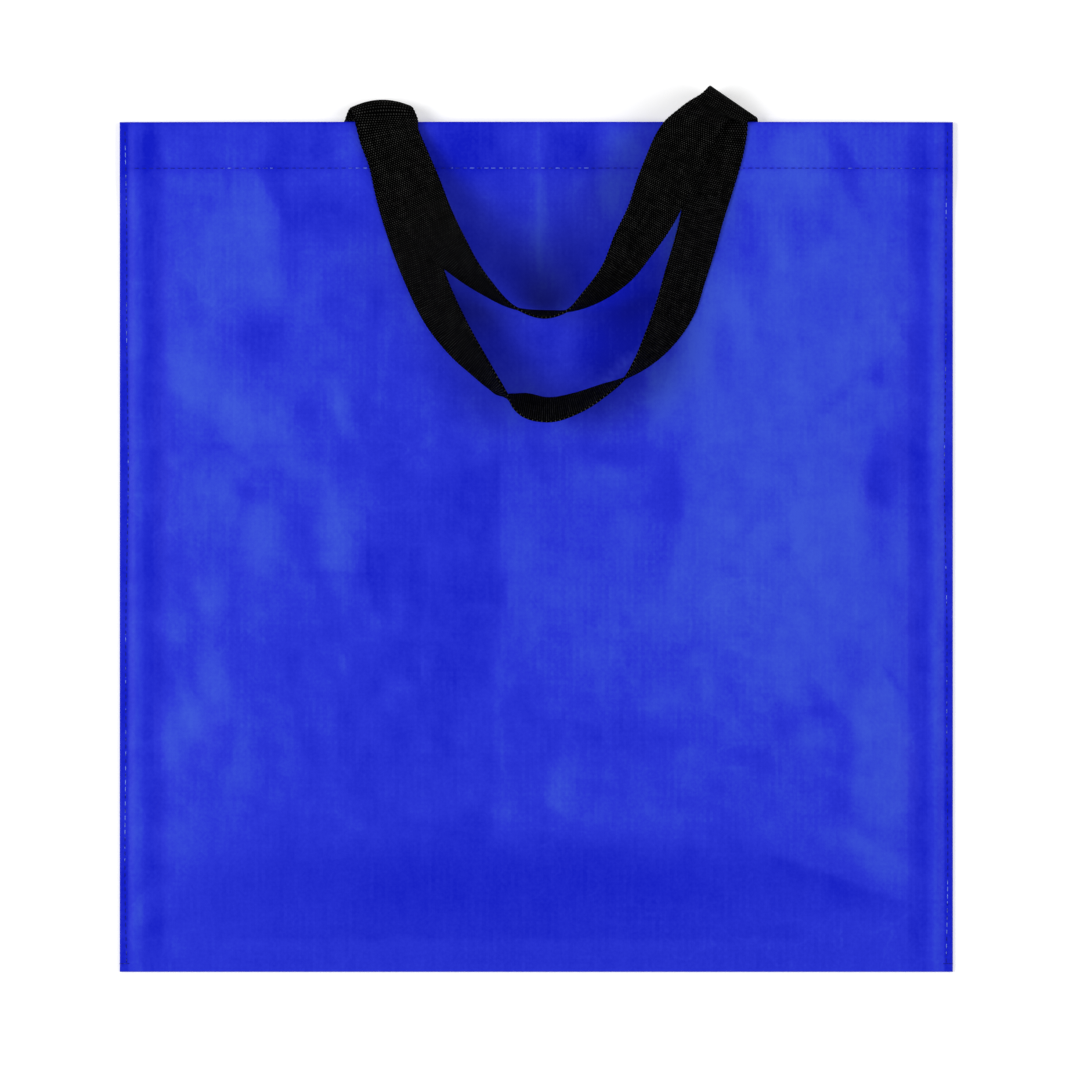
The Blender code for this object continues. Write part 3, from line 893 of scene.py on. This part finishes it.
class Signal:
    """An output socket of a material's nodes. Arithmetic on signals adds Math nodes."""

    def __init__(self, socket):
        self.socket = socket
        self.tree = socket.id_data

    def maths(self, operation, other=0.0):
        """A Math node of this signal and another signal or value."""
        return add_node(self.tree, "ShaderNodeMath", {"operation": operation}, {0: self, 1: other})

    def __add__(self, other):
        return self.maths("ADD", other)

    def __sub__(self, other):
        return self.maths("SUBTRACT", other)

    def __mul__(self, other):
        return self.maths("MULTIPLY", other)

    def __truediv__(self, other):
        return self.maths("DIVIDE", other)

    def sine(self):
        return self.maths("SINE")

    def size(self):
        return self.maths("ABSOLUTE")

    def whole(self):
        return self.maths("FLOOR")

    def above(self, limit):
        return self.maths("GREATER_THAN", limit)

    def positive(self):
        return self.maths("MAXIMUM", 0.0)

    def reflected(self, operation, other):
        """A Math node with the other signal or value first."""
        return add_node(self.tree, "ShaderNodeMath", {"operation": operation}, {0: other, 1: self})

    def __rsub__(self, other):
        return self.reflected("SUBTRACT", other)

    def __rtruediv__(self, other):
        return self.reflected("DIVIDE", other)

    __radd__ = __add__
    __rmul__ = __mul__


def add_node(tree, kind, settings=None, sockets=None, output=0):
    """Adds one node: its settings first, then the values or links of its sockets. Returns one output."""
    node = tree.nodes.new(kind)
    for key, value in (settings or {}).items():
        setattr(node, key, value)
    for key, value in (sockets or {}).items():
        if isinstance(value, Signal):
            tree.links.new(value.socket, node.inputs[key])
        else:
            node.inputs[key].default_value = value
    return Signal(node.outputs[output])


def mixed(tree, factor, first, second):
    """The colour between two colours."""
    return add_node(tree, "ShaderNodeMix", {"data_type": "RGBA"}, {0: factor, 6: first, 7: second}, 2)


def noise(tree, place, scale, detail):
    """Smooth random values about 0.5."""
    return add_node(tree, "ShaderNodeTexNoise", {},
                    {"Vector": place, "Scale": scale, "Detail": detail})


def spread(signal, strength):
    """A value about 0 from one about 0.5, times the strength."""
    return (signal - 0.5) * strength


def grain(tree, place, scale, detail, strength):
    """Smooth random values about 0."""
    return spread(noise(tree, place, scale, detail), strength)


def surface(name, base, rough, bump_height, bump_depth, specular):
    """A Principled material. base, rough and bump_height take the tree and give a signal."""
    material = bpy.data.materials.new(name)
    material.use_nodes = True
    tree = material.node_tree
    shader = tree.nodes["Principled BSDF"]
    shader.inputs["Specular IOR Level"].default_value = specular
    tree.links.new(base(tree).socket, shader.inputs["Base Color"])
    tree.links.new(rough(tree).socket, shader.inputs["Roughness"])
    bump = add_node(tree, "ShaderNodeBump", {}, {"Strength": 1.0, "Distance": bump_depth * MM,
                                                "Height": bump_height(tree)})
    tree.links.new(bump.socket, shader.inputs["Normal"])
    return material


def bag_place(tree):
    """Place on the bag in metres, and its parts across and along the bag in millimetres."""
    place = add_node(tree, "ShaderNodeTexCoord", output=3)
    split = add_node(tree, "ShaderNodeSeparateXYZ", {}, {0: place})
    parts = split.socket.node.outputs
    return place, Signal(parts[0]) / MM, Signal(parts[1]) / MM


def tape_tone(tree, across, along, pitch, seed):
    """A value about 0.5 for each woven tape or yarn, which drifts along it."""
    number = (across / pitch).whole() * TAPE_STRIDE + seed
    place = add_node(tree, "ShaderNodeCombineXYZ", {}, {0: number, 1: along / TAPE_RUN})
    return noise(tree, place, 1.0, 2.0)


def wave(place, pitch):
    """A sine with half a wave on each tape."""
    return (place / pitch * math.pi).sine()


def tape_gap(place, pitch):
    """1 along the narrow lines where two tapes meet, else 0."""
    return (GAP_WIDTH - wave(place, pitch).size()).above(0.0)


def weave_form(x, y):
    """Plain weave: a product of two sines, high where a tape that runs up the bag lies over."""
    return wave(x, WARP_PITCH) * wave(y, WEFT_PITCH)


def both_ways(form, x, y, strengths):
    """A form of the tapes that run up the bag and of those that run across it, each at its strength."""
    return form(x, WARP_PITCH) * strengths[0] + form(y, WEFT_PITCH) * strengths[1]


def laminate(name, colours, rough_level, weave_depth):
    """Woven tapes under a clear film: a painted sheen lightens the blue and painted shade darkens it,
    and the tapes print through.

    The tone is the painted sheen and shade plus grain, a drift of each tape, the weave less its gaps
    where they show, and painted highlights along fine creases of the film. It runs by the three colours
    at 0, a half and 1.
    """
    dark, middle, light = colours

    def base(tree):
        place, x, y = bag_place(tree)
        painted_light = add_node(tree, "ShaderNodeAttribute", {"attribute_name": "painted_light"}, output=2)
        shown = grain(tree, place, *SHOWN) + SHOWN_LEVEL
        warp = spread(tape_tone(tree, x, y, WARP_PITCH, 3.5), TAPE_TONES[0])
        weft = spread(tape_tone(tree, y, x, WEFT_PITCH, 8.5), TAPE_TONES[1])
        stripes = both_ways(wave, x, y, STRIPES) - both_ways(tape_gap, x, y, GAPS)
        weave = (weave_form(x, y) * CHECKS + stripes) * shown
        # Painted highlights along fine creases of the film
        crease_glint_share = (grain(tree, place, *CREASE_GLINT_AREAS) + CREASE_GLINT_LEVEL).positive().maths("MINIMUM", 1.0)
        crease_highlights = (1 - grain(tree, place, *CREASE_LINES).size()).positive() * crease_glint_share * CREASE_HIGHLIGHT
        # The painted sheen and painted shade come in here from the mesh's attribute
        tone = painted_light + grain(tree, place, *FILM_GRAIN) + warp + weft + weave + crease_highlights
        return mixed(tree, tone * 2 - 1, mixed(tree, tone * 2, dark, middle), light)

    def rough(tree):
        place, x, y = bag_place(tree)
        tapes = spread(tape_tone(tree, x, y, WARP_PITCH, 5.5), TAPE_ROUGH)
        return grain(tree, place, *FILM_ROUGH_GRAIN) + tapes + rough_level

    def height(tree):
        place, x, y = bag_place(tree)
        seams = wave(x, WARP_PITCH).size() * TAPE_SEAMS[0] + wave(y, WEFT_PITCH).size() * TAPE_SEAMS[1]
        crinkle = grain(tree, place, *CRINKLE) + grain(tree, place, *BUCKLE)
        return (weave_form(x, y) + seams) * weave_depth + crinkle

    return surface(name, base, rough, height, FILM_BUMP, FILM_GLOSS)


def webbing():
    """Black plain-woven webbing: ribs of yarns that go over and under by turns, each its own tone, with
    a painted highlight on their crowns.
    """

    def parts(tree):
        place = add_node(tree, "ShaderNodeUVMap", {"uv_map": "cloth"})
        split = add_node(tree, "ShaderNodeSeparateXYZ", {}, {0: place})
        outputs = split.socket.node.outputs
        return place, Signal(outputs[0]) / MM, Signal(outputs[1]) / MM

    def weave(tree):
        _, along, across = parts(tree)
        turn = (along / PICK_PITCH).whole() * math.pi / 2
        over = (across / YARN_PITCH * math.pi + turn).sine().size()
        return over * wave(along, PICK_PITCH).size()

    def base(tree):
        place, along, across = parts(tree)
        yarn = spread(tape_tone(tree, across, along, YARN_PITCH, 1.5), YARN_TONE)
        pick = spread(tape_tone(tree, along, across * 2, PICK_PITCH, 4.5), PICK_TONE)
        # The yarns' crowns carry a painted highlight
        crown = (weave(tree) - CROWN_HIGHLIGHT_LEVEL) * CROWN_HIGHLIGHT
        tone = (crown + grain(tree, place, *WEBBING_GRAIN) + yarn + pick).positive()
        return mixed(tree, tone * tone, *WEBBING_COLOURS)

    def rough(tree):
        place, _, _ = parts(tree)
        return grain(tree, place, *WEBBING_ROUGH_GRAIN) + WEBBING_ROUGH

    def height(tree):
        place, _, _ = parts(tree)
        return weave(tree) + grain(tree, place, *WEBBING_FUZZ)

    return surface("webbing", base, rough, height, WEBBING_BUMP, WEBBING_GLOSS)


def thread():
    """Twisted blue sewing thread, a little paler than the sheet, with painted glints."""

    def base(tree):
        place, x, _ = bag_place(tree)
        middle = (1 - x.size() / MIDDLE_REACH).positive() * MIDDLE_GLINT + GLINT_LEVEL
        glint = grain(tree, place, *STITCH_GLINT) + grain(tree, place, *RUN_GLINT) + middle
        return mixed(tree, glint, *THREAD_COLOURS)

    def rough(tree):
        place, _, _ = bag_place(tree)
        return grain(tree, place, *THREAD_ROUGH_GRAIN) + THREAD_ROUGH

    def height(tree):
        _, x, y = bag_place(tree)
        return ((x + y) * TWIST).sine()

    return surface("thread", base, rough, height, THREAD_BUMP, THREAD_GLOSS)


def make_bag():
    """The sheet, with its film side out and its plain woven side in."""
    points, tone = sheet_surface()
    outer = laminate("laminate", FILM_COLOURS, FILM_ROUGH, FILM_WEAVE)
    inner = laminate("woven_inside", INSIDE_COLOURS, INSIDE_ROUGH, INSIDE_WEAVE)
    bag = add_piece("bag_sheet", points, [grid_faces(*points.shape[:2])], (outer, inner),
                    tone=tone)
    solid = bag.modifiers.new("thickness", "SOLIDIFY")
    solid.thickness = SHEET * MM
    solid.offset = 0.0
    solid.use_even_offset = True
    solid.material_offset = 1
    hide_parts("bag_body")


def make_handles():
    """Both webbing handles, in place of the CAD's."""
    front_left, back_left = handle_sides(LEFT_HANDLE, 0, FRONT_LEFT_FOLD, BACK_LEFT_FOLD)
    front_right, back_right = handle_sides(RIGHT_HANDLE, 180, FRONT_RIGHT_FOLD, BACK_RIGHT_FOLD)
    routes = {
        "handle_front": front_left + [leg_station(row) for row in FRONT_LOOP] + front_right[::-1],
        "handle_back": back_left + [leg_station(row) for row in BACK_LOOP] + back_right[::-1],
    }
    material = webbing()
    for node, stations in routes.items():
        points, uv = strap_surface(stations)
        rings, around = points.shape[:2]
        ends = np.array((np.arange(around)[::-1], np.arange(around) + (rings - 1) * around))
        strap = add_piece("webbing_" + node, points, [grid_faces(rings, around, True), ends],
                          (material,), uv=uv)
        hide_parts(node)


def run_of_stitches(name, rows, material):
    """One piece from rows of stitches, each as stitch_surface takes it, with round ends closed."""
    tubes = np.concatenate([stitch_surface(*row) for row in rows])
    count, rings, sides = tubes.shape[:3]
    caps = np.array((np.arange(sides)[::-1], np.arange(sides) + (rings - 1) * sides))
    start = (np.arange(count) * rings * sides)[:, None, None]
    walls = (grid_faces(rings, sides, True)[None] + start).reshape(-1, 4)
    ends = (caps[None] + start).reshape(-1, sides)
    add_piece(name, tubes, [walls, ends], (material,))


def seam_inset(y):
    """How far a side seam's stitch line lies in from the edge: it wanders a little, by two sines."""
    return sum((size * np.sin(y / length + start) for size, length, start in SEAM_WANDER), SEAM_LINE)


def stitch_places(length):
    """The middles of as many stitches as fit the length, about 0."""
    count = int(length / STITCH_PITCH)
    return (np.arange(count) - (count - 1) / 2) * STITCH_PITCH


def make_stitching():
    """Hem and side seam stitches, on both faces of what they hold."""
    material = thread()
    level = (1.0, 0.0, 0.0)
    x = stitch_places(WIDTH - 2 * SEAM_WIDTH - 2 * HEM_END)
    y = np.full(len(x), MOUTH - HEM_LINE)
    top = panel_top(x, y)
    ahead = unit(np.stack((np.ones(len(x)), np.zeros(len(x)), np.gradient(top, x)), axis=1))
    off_handle = np.minimum(np.abs(x - LEFT_HANDLE), np.abs(x - RIGHT_HANDLE))
    strap = np.where(off_handle < STRAP_WIDTH / 2 + 1, STRAP_THICKNESS + STRAP_GAP, 0.0)
    front = [(x, y, top, ahead, 1), (x, y, top - SHEET - PLY_PITCH - strap, ahead, -1)]
    run_of_stitches("hem_stitching_front", front, material)
    back = [(x, y, UNDER_THREAD, level, -1), (x, y, SHEET + PLY_PITCH + strap, level, 1)]
    run_of_stitches("hem_stitching_back", back, material)

    y = stitch_places(HEIGHT - 2 * SEAM_END)
    for name, side in (("left", -1), ("right", 1)):
        x = side * (WIDTH / 2 - seam_inset(y))
        top = panel_top(x, y)
        ahead = unit(np.stack((np.gradient(x, y), np.ones(len(y)), np.gradient(top, y)), axis=1))
        tack_x = side * (WIDTH / 2 - TACK_IN - TACK_PITCH * np.arange(TACKS))
        tack_y = np.full(TACKS, -MOUTH + TACK_UP)
        rows = [(x, y, top, ahead, 1), (x, y, UNDER_THREAD, ahead, -1),
                (tack_x, tack_y, panel_top(tack_x, tack_y), level, 1)]
        run_of_stitches("seam_stitching_" + name, rows, material)


def seen_directly(tree):
    """1 for rays that come from the camera, a glossy reflection or through glass, else 0."""
    path = tree.nodes.new("ShaderNodeLightPath").outputs
    camera, glossy, glass = (Signal(path[kind]) for kind in
                             ("Is Camera Ray", "Is Glossy Ray", "Is Transmission Ray"))
    return (camera + glossy + glass).maths("MINIMUM", 1.0)


def make_stage():
    """A pale floor that keeps the shadow, and soft light from two large lamps, the left one stronger."""
    mesh = bpy.data.meshes.new("floor")
    corners = [(-1, -1), (1, -1), (1, 1), (-1, 1)]
    mesh.from_pydata([(FLOOR_REACH * x, FLOOR_REACH * y, FLOOR_LEVEL) for x, y in corners], [],
                     [(0, 1, 2, 3)])
    floor = bpy.data.objects.new("floor", mesh)
    bpy.context.scene.collection.objects.link(floor)
    material = bpy.data.materials.new("pale_floor")
    material.use_nodes = True
    tree = material.node_tree
    tree.nodes.clear()
    matte = add_node(tree, "ShaderNodeBsdfDiffuse", {}, {"Color": FLOOR_COLOUR})
    glow = add_node(tree, "ShaderNodeEmission", {},
                    {"Color": WHITE, "Strength": seen_directly(tree) * FLOOR_GLOW})
    both = add_node(tree, "ShaderNodeAddShader", {}, {0: matte, 1: glow})
    output = tree.nodes.new("ShaderNodeOutputMaterial")
    tree.links.new(both.socket, output.inputs["Surface"])
    mesh.materials.append(material)

    world = bpy.data.worlds.new("studio")
    world.use_nodes = True
    tree = world.node_tree
    background = tree.nodes["Background"]
    strength = seen_directly(tree) * (1 - WORLD_LIGHT) + WORLD_LIGHT
    tree.links.new(strength.socket, background.inputs["Strength"])
    background.inputs["Color"].default_value = WHITE
    bpy.context.scene.world = world

    for name, (x, y, z), power, width in LAMPS:
        data = bpy.data.lights.new(name, "AREA")
        data.energy = power
        data.size = width
        lamp = bpy.data.objects.new(name, data)
        lamp.location = (x, y, z)
        lamp.rotation_euler = (math.atan2(math.hypot(x, y), z), 0, math.atan2(y, x) + math.pi / 2)
        bpy.context.scene.collection.objects.link(lamp)


def make_camera():
    """Looks straight down on the bag from far off, through a long lens, as the photograph does."""
    data = bpy.data.cameras.new("camera")
    data.sensor_width = SENSOR
    data.lens = LENS
    data.clip_end = VIEW_END
    camera = bpy.data.objects.new("camera", data)
    camera.location = (*PICTURE_MIDDLE, PICTURE_WIDTH * LENS / SENSOR + BELLY * MM)
    bpy.context.scene.collection.objects.link(camera)
    bpy.context.scene.camera = camera


bpy.context.scene.view_settings.view_transform = "Standard"
make_camera()
make_stage()
make_bag()
make_handles()
make_stitching()
